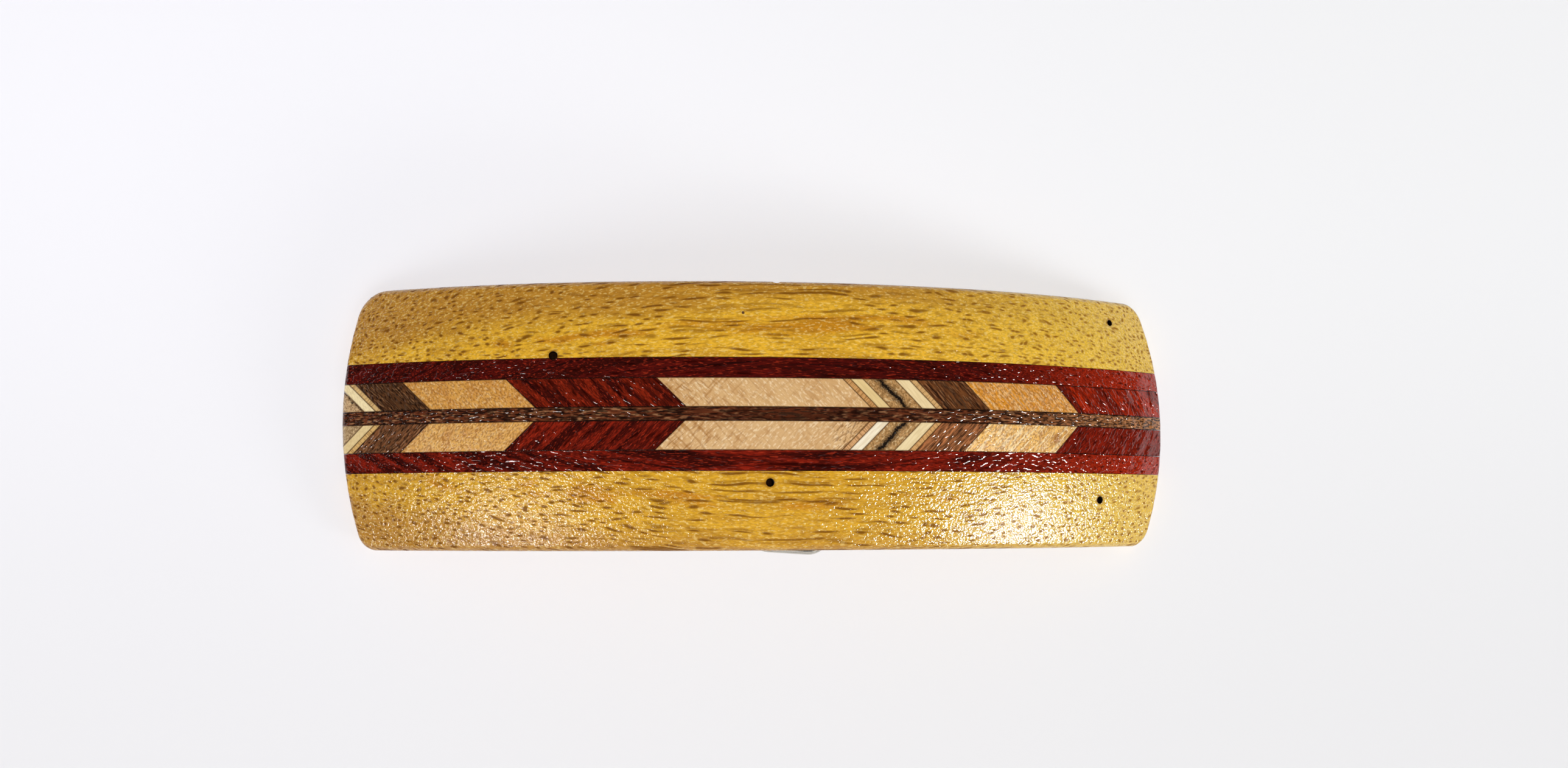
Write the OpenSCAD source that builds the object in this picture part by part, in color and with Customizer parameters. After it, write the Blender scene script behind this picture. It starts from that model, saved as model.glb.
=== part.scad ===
// Arched wooden barrette. A slab is glued up from strips of wood with an arrow inlay,
// sawn to an arch, crowned across its top and fitted underneath with a steel hair clip.
// X runs along the barrette, Y across it towards the back edge, and Z up.
// The origin lies on the surface that it rests on, under the middle of the slab.

/* [Slab] */
// Length from tip to tip along X
slab_len = 104.6; // [100:0.2:106]
// Width across both rails
slab_w = 31.7; // [31:0.1:33]
// Thickness at the middle
slab_t = 5.4; // [5.2:0.1:6]
// Radius of the arch along the top
arch_r = 85; // [83:1:90]
// Radius of the crown across the top
crown_r = 46; // [44:1:60]
// Rounding along the long top edges
edge_r = 1; // [0.6:0.1:1.4]
// Chamfer along the long bottom edges
under_edge = 0.3; // [0.2:0.1:0.5]
// Height sanded off the ends' lower corners, so that the slab stands flat
foot_cut = 0.5; // [0.3:0.1:0.8]

/* [Ends] */
// Radius that the left end is sanded to, across the slab
left_end_r = 120; // [80:5:200]
// Radius that the right end is sanded to, across the slab
right_end_r = 150; // [80:5:200]
// How far the right end's tip lies towards the front
right_tip_front = 5; // [0:0.5:6]
// Radius of the left end's back corner
left_back_corner_r = 3.4; // [2:0.1:4]
// Radius of the left end's front corner
left_front_corner_r = 2.1; // [1.6:0.1:4]
// Radius of the right end's back corner
right_back_corner_r = 2.5; // [1.6:0.1:4]
// Radius of the right end's front corner
right_front_corner_r = 2.3; // [1.6:0.1:4]

/* [Inlay] */
// Width of the walnut spine
spine_w = 1.6; // [1.4:0.1:1.8]
// Width of each band of arrow pieces
band_w = 3.4; // [3.2:0.1:3.6]
// Width of each red strip
red_w = 2.4; // [2.2:0.1:2.6]
// Width of the glue line between two pieces
glue_w = 0.04; // [0.02:0.01:0.06]
// How far the front band's pieces lie to the left of the back band's
front_shift = 0.15; // [0:0.05:0.3]

/* [Clip] */
// Length of the base plate
clip_len = 70; // [66:1:72]
// Width of the base plate
clip_w = 8; // [7.6:0.1:9]
// Thickness of the base plate, ears and strap
clip_t = 0.8; // [0.7:0.1:0.9]
// Width of the closing arm
arm_w = 6; // [5.4:0.1:6.2]
// Thickness of the closing arm
arm_t = 1; // [0.8:0.1:1.2]
// Height of the arm's top above the rest surface, at the middle
arm_top = 7.4; // [7.2:0.1:8]
// Radius that the arm is bent to
arm_bend_r = 200; // [180:5:240]
// Width of the cross strap
strap_w = 10.5; // [9:0.1:12]
// How far the strap's end shows past the front edge
strap_show = 0.45; // [0.3:0.05:0.8]
// Angle of the strap across the clip
strap_turn = 3.7; // [0:0.1:6]

/* [Hidden] */
// Rows of the arrow bands, left to right: name, length along X, colour
ARROWS = [
    ["spalt_1", 4, "#9c7d58"],
    ["cream_1", 1.4, "#e6d0a2"],
    ["tan_1", 0.8, "#b58e5c"],
    ["walnut_1", 5.75, "#5c4331"],
    ["cherry_1", 12.2, "#cd9d63"],
    ["padauk_1", 17.15, "#741a10"],
    ["maple", 21.7, "#d8b88e"],
    ["tan_2", 0.9, "#b58e5c"],
    ["cream_2", 1.55, "#e6d0a2"],
    ["spalt_2", 3.95, "#9c7d58"],
    ["cream_3", 1.8, "#e6d0a2"],
    ["tan_3", 0.9, "#b58e5c"],
    ["walnut_2", 6.2, "#5c4331"],
    ["cherry_2", 12.8, "#cd9d63"],
    ["padauk_2", 24, "#8f2a18"]
];
NAME = 0;
LENGTH = 1;
COLOUR = 2;
// Rows of the two bands: name, side of the spine
SIDES = [["back", 1], ["front", -1]];
SIDE = 1;
// Rows of the wormholes: x, y, diameter
WORMHOLES = [[-27.1, 6.9, 1.05], [-2.2, -7.95, 1], [44, 12.8, 0.8], [41.5, -9.9, 0.95]];
HOLE_X = 0;
HOLE_Y = 1;
HOLE_D = 2;
wormhole_depth = 2;
// Left edge of the first arrow piece, where it meets the red strip
arrows_from = -56.65;
// Place, radius and depth of the nick in the back edge
nick_x = -1;
nick_r = 0.7;
nick_depth = 0.22;

// Lines between the strips, measured from the middle
spine_edge = spine_w / 2;
band_edge = spine_edge + band_w;
red_edge = band_edge + red_w;
rail_edge = slab_w / 2;
half_glue = glue_w / 2;

// The arch's axis runs along Y at this height, under the rest surface
under_r = arch_r - slab_t;
end_turn = asin(slab_len / 2 / arch_r);
axis_z = -under_r * cos(end_turn) - foot_cut;
above_all = arch_r + axis_z + 1;
// Longest straight step along the crowned section
section_step = 1.2;
curve_steps = 5;
large_round = 180;
small_round = 32;
// Length by which a cutter runs past a surface
past = 2;
// Small step that keeps two faces out of one plane
offset_step = 0.1;

// The clip's plates, measured from the arch's axis
plate_out_r = under_r - glue_w;
plate_in_r = plate_out_r - clip_t;
plate_mid_r = (plate_out_r + plate_in_r) / 2;
plate_corner_r = 2;
pin_x = 33;
pin_r = 0.8;
pin_len = clip_w + 0.6;
barrel_r = 1.5;
ear_r = 2.2;
ear_len = 12;
ear_y = (clip_w - clip_t) / 2 - offset_step;
arm_end = 36.5;
arm_corner_r = 2.4;
pin_z = arm_top - arm_t / 2 - arm_bend_r + sqrt(pow(arm_bend_r, 2) - pow(pin_x, 2));
strap_x = 1.75;
strap_from = 2;
strap_corner_r = 3;

function arrow_name(side, arrow) = str(side[NAME], "_", arrow[NAME]);

// Left edge of arrow piece i at the red strip
function arrow_from(i) = i == 0 ? arrows_from : arrow_from(i - 1) + ARROWS[i - 1][LENGTH];

// Points on an arc
function arc(x, y, r, from, to, steps) =
    [for (i = [0:steps]) let (a = from + (to - from) * i / steps) [x + r * cos(a), y + r * sin(a)]];

// A rectangle with round corners
function round_box(from_x, from_y, to_x, to_y, r) = concat(
    arc(to_x - r, to_y - r, r, 0, 90, curve_steps),
    arc(from_x + r, to_y - r, r, 90, 180, curve_steps),
    arc(from_x + r, from_y + r, r, 180, 270, curve_steps),
    arc(to_x - r, from_y + r, r, 270, 360, curve_steps)
);

// Distance from the arch's axis to the crowned top, at y across the slab
function crown_at(y) = arch_r - crown_r + sqrt(pow(crown_r, 2) - pow(y, 2));

// How much the rounded long edge takes off there
function edge_drop(y) = edge_r - sqrt(pow(edge_r, 2) - pow(max(abs(y) - rail_edge + edge_r, 0), 2));

function top_at(y) = crown_at(y) - edge_drop(y);

function top_z(x, y) = axis_z + sqrt(pow(top_at(y), 2) - pow(x, 2));

// An end's outline seen square to it, from its back corner to its front corner.
// Its tip lies at x = 0.
function end_points(end_r, tip_y, back_r, front_r) =
    let (
        back_y = rail_edge - back_r,
        front_y = front_r - rail_edge,
        back_x = sqrt(pow(end_r - back_r, 2) - pow(back_y - tip_y, 2)) - end_r,
        front_x = sqrt(pow(end_r - front_r, 2) - pow(front_y - tip_y, 2)) - end_r,
        back_turn = atan2(back_y - tip_y, back_x + end_r),
        front_turn = atan2(front_y - tip_y, front_x + end_r)
    )
    concat(
        arc(back_x, back_y, back_r, 90, back_turn, curve_steps),
        arc(-end_r, tip_y, end_r, back_turn, front_turn, 2 * curve_steps),
        arc(front_x, front_y, front_r, front_turn, -90, curve_steps)
    );

// All that lies inside the right end, which is sanded square to the arch
module inside_end(end_r, tip_y, back_r, front_r) {
    translate([0, 0, axis_z])
        rotate([0, end_turn, 0])
            linear_extrude(arch_r + past)
                polygon(concat(
                    [[-arch_r - past, -rail_edge], [-arch_r - past, rail_edge]],
                    end_points(end_r, tip_y, back_r, front_r)
                ));
}

// The section of a strip, as distance from the arch's axis and y
module strip_section(from_y, to_y) {
    steps = ceil((to_y - from_y) / section_step);
    top = [for (i = [0:steps]) let (y = from_y + (to_y - from_y) * i / steps) [top_at(y), y]];
    polygon(concat([[under_r, from_y]], top, [[under_r, to_y]]));
}

// The section of a rail, with its long edges eased
module rail_section(from_y) {
    flat_to = rail_edge - edge_r;
    steps = ceil((flat_to - from_y) / section_step);
    top = [for (i = [0:steps - 1]) let (y = from_y + (flat_to - from_y) * i / steps) [top_at(y), y]];
    edge = [for (a = [0:15:90]) let (y = flat_to + edge_r * sin(a)) [top_at(y), y]];
    polygon(concat(
        [[under_r, from_y]],
        top,
        edge,
        [[under_r + under_edge, rail_edge], [under_r, rail_edge - under_edge]]
    ));
}

// Turns a section about the arch's axis
module arch() {
    translate([0, 0, axis_z])
        rotate([-90, 0, 0])
            rotate_extrude($fn = large_round)
                children();
}

// Cuts an arched strip to the slab's two ends and to the rest surface
module trimmed() {
    intersection() {
        children();
        inside_end(right_end_r, -right_tip_front, right_back_corner_r, right_front_corner_r);
        mirror([1, 0, 0])
            inside_end(left_end_r, 0, left_back_corner_r, left_front_corner_r);
        translate([-slab_len, -slab_w, 0])
            cube([2 * slab_len, 2 * slab_w, above_all]);
    }
}

module wormholes() {
    for (hole = WORMHOLES)
        translate([hole[HOLE_X], hole[HOLE_Y], top_z(hole[HOLE_X], hole[HOLE_Y]) - wormhole_depth])
            cylinder(h = wormhole_depth + past, d = hole[HOLE_D], $fn = small_round);
}

// Puts a shape drawn for the back on the named side
module on_side(side) {
    if (side > 0) children();
    else mirror([0, 1]) children();
}

module rail(side) {
    difference() {
        trimmed()
            arch()
                on_side(side)
                    rail_section(red_edge + half_glue);
        wormholes();
    }
}

module red_strip(side) {
    difference() {
        trimmed()
            arch()
                on_side(side)
                    strip_section(band_edge + half_glue, red_edge - half_glue);
        wormholes();
    }
}

module back_rail() {
    color("#c99f3c")
        difference() {
            rail(1);
            translate([nick_x, rail_edge + nick_r - nick_depth, 0])
                cylinder(h = above_all, r = nick_r, $fn = small_round);
        }
}

module front_rail() {
    color("#d3a848")
        rail(-1);
}

module back_red_strip() {
    color("#5e130c")
        red_strip(1);
}

module front_red_strip() {
    color("#6a160e")
        red_strip(-1);
}

module spine() {
    color("#503620")
        trimmed()
            arch()
                strip_section(-spine_edge + half_glue, spine_edge - half_glue);
}

// One slanted piece of an arrow band
module arrow_piece(side, i) {
    from_x = arrow_from(i) + half_glue - (side > 0 ? 0 : front_shift);
    to_x = from_x + ARROWS[i][LENGTH] - glue_w;
    color(ARROWS[i][COLOUR])
        intersection() {
            trimmed()
                arch()
                    on_side(side)
                        strip_section(spine_edge + half_glue, band_edge - half_glue);
            linear_extrude(above_all)
                on_side(side)
                    polygon([
                        [from_x, band_edge],
                        [to_x, band_edge],
                        [to_x + band_w, spine_edge],
                        [from_x + band_w, spine_edge]
                    ]);
        }
}

// The base plate and its cross strap in plan
module clip_plan() {
    polygon(round_box(-clip_len / 2, -clip_w / 2, clip_len / 2, clip_w / 2, plate_corner_r));
    strap_end = rail_edge + strap_show;
    translate([strap_x, 0])
        rotate(-strap_turn)
            polygon(round_box(-strap_w / 2, -strap_end, strap_w / 2, strap_from, strap_corner_r));
}

// A flat upright plate that hangs from the base plate around x
module ear(x, y) {
    intersection() {
        translate([x, y, pin_z + ear_len / 2 - ear_r])
            rotate([90, 0, 0])
                linear_extrude(clip_t, center = true)
                    polygon(round_box(-ear_r, -ear_len / 2, ear_r, ear_len / 2, ear_r - offset_step));
        translate([0, 0, axis_z])
            rotate([90, 0, 0])
                cylinder(h = clip_w + past, r = plate_mid_r, center = true, $fn = large_round);
    }
}

// A round bar across the clip
module cross_bar(x, z, r, length) {
    translate([x, 0, z])
        rotate([90, 0, 0])
            cylinder(h = length, r = r, center = true, $fn = small_round);
}

module closing_arm() {
    intersection() {
        translate([0, 0, arm_top - arm_bend_r])
            rotate([-90, 0, 0])
                rotate_extrude($fn = large_round)
                    translate([arm_bend_r - arm_t, -arm_w / 2])
                        square([arm_t, arm_w]);
        linear_extrude(above_all)
            polygon(round_box(
                -pin_x, -arm_w / 2 - offset_step,
                arm_end, arm_w / 2 + offset_step,
                arm_corner_r
            ));
    }
}

module clip() {
    color("silver")
        union() {
            intersection() {
                arch()
                    translate([plate_in_r, -rail_edge - past])
                        square([clip_t, slab_w + 2 * past]);
                linear_extrude(above_all)
                    clip_plan();
            }
            for (x = [-pin_x, pin_x])
                for (y = [-ear_y, ear_y])
                    ear(x, y);
            closing_arm();
            cross_bar(-pin_x, pin_z, barrel_r, arm_w - offset_step);
            cross_bar(-pin_x, pin_z, pin_r, pin_len);
            cross_bar(pin_x, pin_z - arm_t / 2, pin_r, pin_len);
        }
}

back_rail();
front_rail();
back_red_strip();
front_red_strip();
spine();
clip();
for (side = SIDES)
    for (i = [0:len(ARROWS) - 1])
        arrow_piece(side[SIDE], i);
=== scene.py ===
# The finish of an arched wooden barrette. The slab is modelled whole, as it is made: crowned,
# turned to its arch and sanded, then parted into its strips and arrow pieces. Each wood is a
# solid pattern that runs through its piece, under a gloss varnish. Lengths are in metres.
import math

import bpy
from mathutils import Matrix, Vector


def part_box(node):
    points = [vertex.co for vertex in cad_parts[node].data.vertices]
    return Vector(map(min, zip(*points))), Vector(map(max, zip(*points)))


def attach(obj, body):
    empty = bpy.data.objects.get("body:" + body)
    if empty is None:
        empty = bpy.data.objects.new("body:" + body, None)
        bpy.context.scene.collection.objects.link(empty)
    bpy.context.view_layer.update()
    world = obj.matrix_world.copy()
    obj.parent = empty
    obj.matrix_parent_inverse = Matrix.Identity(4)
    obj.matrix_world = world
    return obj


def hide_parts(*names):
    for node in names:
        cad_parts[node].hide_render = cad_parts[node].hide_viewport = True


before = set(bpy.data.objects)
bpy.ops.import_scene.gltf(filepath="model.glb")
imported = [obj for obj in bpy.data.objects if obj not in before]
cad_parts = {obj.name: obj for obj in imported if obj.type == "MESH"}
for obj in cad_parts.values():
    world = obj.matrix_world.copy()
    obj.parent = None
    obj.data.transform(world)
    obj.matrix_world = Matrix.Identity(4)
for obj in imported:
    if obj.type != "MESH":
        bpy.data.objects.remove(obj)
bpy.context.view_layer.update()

# Driving sizes of the slab
MM = 0.001
ARCH_R = 85 * MM
SLAB_T = 5.4 * MM
CROWN_R = 46 * MM
HALF_LEN = 52.3 * MM
EDGE_R = 1.2 * MM
END_EDGE_R = 0.8 * MM
UNDER_EDGE = 0.3 * MM
# Past this turn a flat cut under one end would reach the other end
EASED_TO = math.radians(35)
# Rows of the two ends: side along X, radius across the slab, how far back the tip lies,
# radii of the back and front corners
ENDS = [(-1, 120 * MM, 0, 3.4 * MM, 2.1 * MM), (1, 150 * MM, -5 * MM, 2.5 * MM, 2.3 * MM)]
# Rows of the wormholes: x, y, radius, the pieces that each was bored through
WORMHOLES = [
    (-27.1 * MM, 6.9 * MM, 0.525 * MM, ("back_rail", "back_red_strip")),
    (-2.2 * MM, -7.95 * MM, 0.5 * MM, ("front_rail",)),
    (44 * MM, 12.8 * MM, 0.4 * MM, ("back_rail",)),
    (41.5 * MM, -9.9 * MM, 0.475 * MM, ("front_rail",)),
]
WORMHOLE_DEPTH = 2 * MM
NICK_X = -1 * MM
NICK_R = 0.7 * MM
NICK_DEPTH = 0.22 * MM
# A dark speck in the back rail: x, y and radius
SPECK = (-5.2 * MM, 11.9 * MM, 0.12 * MM)
# Rows of the arrow pieces: name, the record's slot, colour at the back and at the front
ARROWS = [
    ("spalt_1", "spalted_maple", "#d0ac80", "#bfa076"),
    ("cream_1", "holly", "#ffebba", "#efd49c"),
    ("tan_1", "birch_ply", "#deb87a", "#deb470"),
    ("walnut_1", "walnut", "#5e3a20", "#865433"),
    ("cherry_1", "cherry", "#dba04c", "#e2ab5a"),
    ("padauk_1", "padauk", "#84220b", "#88200e"),
    ("maple", "maple", "#dab07a", "#dbb27e"),
    ("tan_2", "birch_ply", "#ce9a5e", "#d8a672"),
    ("cream_2", "holly", "#e8cb90", "#fbeed2"),
    ("spalt_2", "spalted_maple", "#c0935c", "#c0945e"),
    ("cream_3", "holly", "#f3daa8", "#f2dcac"),
    ("tan_3", "birch_ply", "#d6ab70", "#d6a468"),
    ("walnut_2", "walnut", "#764624", "#bc7648"),
    ("cherry_2", "cherry", "#e09326", "#fac266"),
    ("padauk_2", "padauk", "#b42a06", "#681006"),
]
ARROW_SLANT = math.radians(45)
SIDES = {"back": 1, "front": -1}
STRIPS = ["back_rail", "front_rail", "back_red_strip", "front_red_strip", "spine"]

# Driving sizes of the steel clip
CLIP_LEN = 70 * MM
CLIP_W = 8 * MM
CLIP_T = 0.8 * MM
PLATE_CORNER_R = 2 * MM
PIN_X = 33 * MM
PIN_R = 0.8 * MM
PIN_LEN = 8.6 * MM
BARREL_R = 1.5 * MM
BARREL_LEN = 5.9 * MM
EAR_R = 2.2 * MM
EAR_Y = 3.5 * MM
ARM_TOP = 7.4 * MM
ARM_W = 6 * MM
ARM_T = 1 * MM
ARM_BEND_R = 200 * MM
ARM_END = 36.5 * MM
ARM_CORNER_R = 2.4 * MM
# The cross strap starts behind the plate's middle and shows past the slab's front edge
STRAP_X = 1.75 * MM
STRAP_W = 10.5 * MM
STRAP_FROM = 2 * MM
STRAP_SHOW = 0.45 * MM
# The strap lies this far inside the base plate's faces, so that no two faces share a plane
STRAP_SINK = 0.02 * MM
STRAP_CORNER_R = 3 * MM
STRAP_TURN = math.radians(3.7)
# The end of the strap that shows is rolled over by this radius
STRAP_ROLL = 0.6 * MM
STEEL_EDGE = 0.16 * MM

# Driving sizes of the looks, in millimetres
GLUE_LINE = 0.12
# How far along and across the fibres a pore runs before it drifts another way
PORE_RUN = 6.5
PORE_DRIFT = 2
# How far the rails' rings sway, and where their brown band starts, out from the middle
RING_SWAY = 4
DULL_FROM = {"back": 8.2, "front": 10.2}
# Where the maple's rays fade, and where the flecks in its front piece begin, along the slab
RAYS_FADE = (-14, -2)
FLECKS_BEGIN = (4.2, 6.2)
# The length of the varnish's wrinkles, and its waves' length, width and height
WRINKLE_RUN = 1.1
WAVE_RUN, WAVE_W, WAVE_HEIGHT = 2.6, 1.2, 0.05
# The table is painted warmer and darker between two places along it, and darker between two across
# it: painted shade
TABLE_SHADE_ALONG = (-90, 90)
TABLE_SHADE_ACROSS = (40, -50)

# How the rails' fibres run out of true, and how the rings lean in the rails and red strips
RAIL_RUNOUT = math.radians(-1.5)
RAIL_LEAN = math.radians(16)
STRIP_LEAN = math.radians(45)

# Colour of each rail, of each red strip where it is lightest, of the spine and of the glue
# The front rail's gold is painted darker than the back's: painted shade that offsets the lamps in
# front
RAIL_GOLD = {"back": "#f0b833", "front": "#e2aa2c"}
STRIP_RED = {"back": "#580e08", "front": "#881e0d"}
SPINE_BROWN = "#6a341c"
DARK_GLUE = "#1c0e08"
PALE_GLUE = "#6b4424"
# Roughness of the varnish over the rails, the dark woods and the pale ones
RAIL_GLOSS = 0.12
DARK_GLOSS = 0.07
PALE_GLOSS = 0.13
VARNISH_IOR = 1.5
# Roughness of the wood under it, and the share of varnish that an open pore lacks
BARE_WOOD = 0.6
PORE_BARE = 0.8
# Roughness of the nickel plate where it is bright and where it is scuffed
NICKEL_BRIGHT = 0.16
NICKEL_SCUFFED = 0.3
# What a few pieces have of their own. A spalted piece's black line lies so many millimetres
# from its middle and is so wide. A cherry piece may have pale bands of some strength, partly
# its figure and partly painted highlight, and a small brown smear: x, y and radius
OWN_LOOKS = {
    "spalt_1": {"zone_at": 0.93, "zone_w": 0.09},
    "spalt_2": {"zone_at": 0, "zone_w": 0.3},
    "back_cherry_2": {"band_and_highlight_strength": 0.3},
    "front_cherry_2": {"band_and_highlight_strength": 0.8, "smear": (34.5 * MM, -2.4 * MM, 0.25 * MM)},
}

# Numbers of a Mix node's sockets, where it mixes colours and where it mixes plain numbers
MIX_A, MIX_B, MIX_RESULT = 6, 7, 2
NUMBER_A, NUMBER_B = 2, 3
# A Map Range node's soft rise. Its sockets are 0 the value, 1 and 2 from, 3 and 4 to
SOFT_STEP = {"interpolation_type": "SMOOTHSTEP"}

# Fineness of the meshes
CROWN_STEPS = 540
ARCH_STEP = 0.6 * MM
STEEL_STEP = 1.2 * MM
END_FACETS = 10
CORNER_FACETS = 9
RIM_FACETS = 3
ROLL_FACETS = 5
BORE_SIDES = 24
SMOOTH_BELOW = math.radians(35)
# How far a tool reaches past what it cuts
CLEAR = 2 * MM
# A length that is next to nothing, and how near points are merged when turned and sanded
HAIR = 1e-7
TURNED_WELD = 10 * HAIR
SANDED_WELD = 20 * HAIR

# Camera, found from the slab's landmarks in the 2576 x 1262 photograph
CAMERA_AT = (-33.1 * MM, -12.1 * MM, 223.78 * MM)
CAMERA_TURN = (math.radians(4.37), math.radians(-9.11), math.radians(-0.16))
CAMERA_LENS = 40.63
CAMERA_SENSOR = 36
CAMERA_NEAR = 10 * MM

# Light, in times the radiance of a white surface. Rows of the lamps: name, direction,
# distance, width, height, radiance in reflections and radiance as light on the colours
LAMPS = [
    ("right_window", (0.8, -0.46, 0.415), 0.8, 0.24, 0.2, 84, 8),
    ("left_window", (-0.66, -0.53, 0.57), 0.8, 0.24, 0.2, 27, 0.75),
    ("front_wall", (0, -0.9, 0.42), 1.2, 1.6, 0.75, 0.9, 0),
    ("ceiling", (-0.1, -0.09, 1), 1.5, 0.09, 0.09, 0, 645),
    ("front_panel", (0, -0.5, 0.86), 1.2, 0.8, 0.5, 0, 1.45),
]
# The room's glow near the horizon and overhead, and the heights between which it changes
HORIZON_GLOW = 0.06
ZENITH_GLOW = 0.04
GLOW_CHANGES = (0.05, 0.7)
ROOM_FILL = 0.12
TABLE_SIZE = 3

# Directions
X, Y, Z = Vector((1, 0, 0)), Vector((0, 1, 0)), Vector((0, 0, 1))
QUARTER_TURN = math.radians(90)

# Sizes that follow from the frame
top_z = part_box("spine")[1].z
rail_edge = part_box("back_rail")[1].y
band_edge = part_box("back_maple")[1].y
band_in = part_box("back_maple")[0].y
rail_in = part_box("back_rail")[0].y
spine_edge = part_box("spine")[1].y
axis = Vector((0, 0, top_z - ARCH_R))
under_r = ARCH_R - SLAB_T
end_turn = math.asin(HALF_LEN / ARCH_R)
glue_w = band_in - spine_edge
plate_out_r = under_r - glue_w
plate_in_r = plate_out_r - CLIP_T
arm_axis = Vector((0, 0, ARM_TOP - ARM_BEND_R))
pin_z = arm_axis.z + math.sqrt((ARM_BEND_R - ARM_T / 2) ** 2 - PIN_X ** 2)
strap_reach = rail_edge + STRAP_SHOW - STRAP_SINK


# Modelling

def pick(piece):
    """Selects one piece and nothing else."""
    bpy.ops.object.select_all(action="DESELECT")
    piece.select_set(True)
    bpy.context.view_layer.objects.active = piece


def edit(piece):
    """Opens one piece's mesh with all of it selected."""
    pick(piece)
    bpy.ops.object.mode_set(mode="EDIT")
    bpy.ops.mesh.select_all(action="SELECT")


def close():
    """Closes the mesh that is open."""
    bpy.ops.object.mode_set(mode="OBJECT")


def slice_off(point, normal, fill=True):
    """Takes away what lies beyond a plane, and closes the cut."""
    bpy.ops.mesh.select_all(action="SELECT")
    bpy.ops.mesh.bisect(
        plane_co=point, plane_no=normal, use_fill=fill, clear_outer=True, threshold=HAIR
    )


def placed(name):
    """Names the primitive that was just added, and moves its place into its mesh."""
    piece = bpy.context.object
    piece.name = piece.data.name = name
    bpy.ops.object.transform_apply(location=True, rotation=True, scale=True)
    return piece


def round_bar(name, radius, length, place, turn=(0, 0, 0)):
    """A round bar or tool, upright unless it is turned."""
    bpy.ops.object.select_all(action="DESELECT")
    bpy.ops.mesh.primitive_cylinder_add(
        vertices=BORE_SIDES, radius=radius, depth=length, location=place, rotation=turn
    )
    return placed(name)


def copy_of(piece, name):
    """A second piece with a mesh of its own."""
    pick(piece)
    bpy.ops.object.duplicate(linked=False)
    twin = bpy.context.object
    twin.name = twin.data.name = name
    return twin


def turned(section, from_angle, to_angle, centre, step):
    """Spins a flat section, drawn where the arch is highest, from one angle to the other."""
    edit(section)
    reach = max(v.co.z for v in section.data.vertices) - centre.z
    bpy.ops.transform.rotate(
        value=-from_angle, orient_axis="Y", orient_type="GLOBAL", center_override=centre
    )
    bpy.ops.mesh.spin(
        steps=math.ceil((to_angle - from_angle) * reach / step),
        angle=from_angle - to_angle, center=centre, axis=Y, dupli=False,
    )
    bpy.ops.mesh.select_all(action="SELECT")
    bpy.ops.mesh.remove_doubles(threshold=TURNED_WELD)
    bpy.ops.mesh.normals_make_consistent(inside=False)
    close()
    return section


def boolean(piece, tool, operation):
    """Cuts or joins with a tool, whose own material stays on the faces that it leaves."""
    pick(piece)
    bpy.ops.object.modifier_add(type="BOOLEAN")
    cut = piece.modifiers[-1]
    cut.operation = operation
    cut.object = tool
    cut.solver = "EXACT"
    cut.material_mode = "TRANSFER"
    bpy.ops.object.modifier_apply(modifier=cut.name)
    bpy.data.objects.remove(tool)


def rim_round(corner, wall, top, radius, facets):
    """The planes that round an edge over: a point on each and the way it faces."""
    centre = corner - (wall + top) * radius / (1 + wall.dot(top))
    across = (top - wall * wall.dot(top)).normalized()
    turn = wall.angle(top)
    for i in range(facets):
        tilt = turn * (i + 1) / (facets + 1)
        facing = wall * math.cos(tilt) + across * math.sin(tilt)
        yield centre + facing * radius, facing


def smooth(piece):
    """Shades a piece smooth, but for its sharp edges."""
    pick(piece)
    bpy.ops.object.shade_smooth_by_angle(angle=SMOOTH_BELOW)


# The slab

def crown_at(y):
    """Distance from the arch's axis to the crowned top."""
    return ARCH_R - CROWN_R + math.sqrt(CROWN_R ** 2 - y ** 2)


def blank_section():
    """The slab's section: a crowned top, vertical sides and eased edges."""
    bpy.ops.object.select_all(action="DESELECT")
    bpy.ops.mesh.primitive_circle_add(
        vertices=CROWN_STEPS, radius=CROWN_R, fill_type="NGON",
        location=axis + Z * (ARCH_R - CROWN_R), rotation=(0, QUARTER_TURN, 0),
    )
    section = placed("blank")
    edit(section)
    slice_off(axis + Z * under_r, -Z, fill=False)
    slope = math.asin(rail_edge / CROWN_R)
    for side in SIDES.values():
        slice_off(Y * side * rail_edge, Y * side, fill=False)
        corner = axis + Z * crown_at(rail_edge) + Y * side * rail_edge
        wall, top = Y * side, Z * math.cos(slope) + Y * side * math.sin(slope)
        for point, facing in rim_round(corner, wall, top, EDGE_R, RIM_FACETS):
            slice_off(point, facing, fill=False)
        corner = axis + Z * under_r + Y * side * (rail_edge - UNDER_EDGE)
        slice_off(corner, (Y * side - Z).normalized(), fill=False)
    close()
    return section


def end_outline(end_r, tip_y, back_r, front_r):
    """An end seen square to it: each facet's turn, and its place out along the arch and across."""
    back_y, front_y = rail_edge - back_r, front_r - rail_edge
    back_x = math.sqrt((end_r - back_r) ** 2 - (back_y - tip_y) ** 2) - end_r
    front_x = math.sqrt((end_r - front_r) ** 2 - (front_y - tip_y) ** 2) - end_r
    back_turn = math.atan2(back_y - tip_y, back_x + end_r)
    front_turn = math.atan2(front_y - tip_y, front_x + end_r)
    arcs = [
        (-end_r, tip_y, end_r, front_turn, back_turn, END_FACETS),
        (back_x, back_y, back_r, back_turn, QUARTER_TURN, CORNER_FACETS),
        (front_x, front_y, front_r, -QUARTER_TURN, front_turn, CORNER_FACETS),
    ]
    for out, across, radius, first, last, facets in arcs:
        for i in range(facets):
            turn = first + (last - first) * (i + 0.5) / facets
            yield turn, out + radius * math.cos(turn), across + radius * math.sin(turn)


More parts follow.
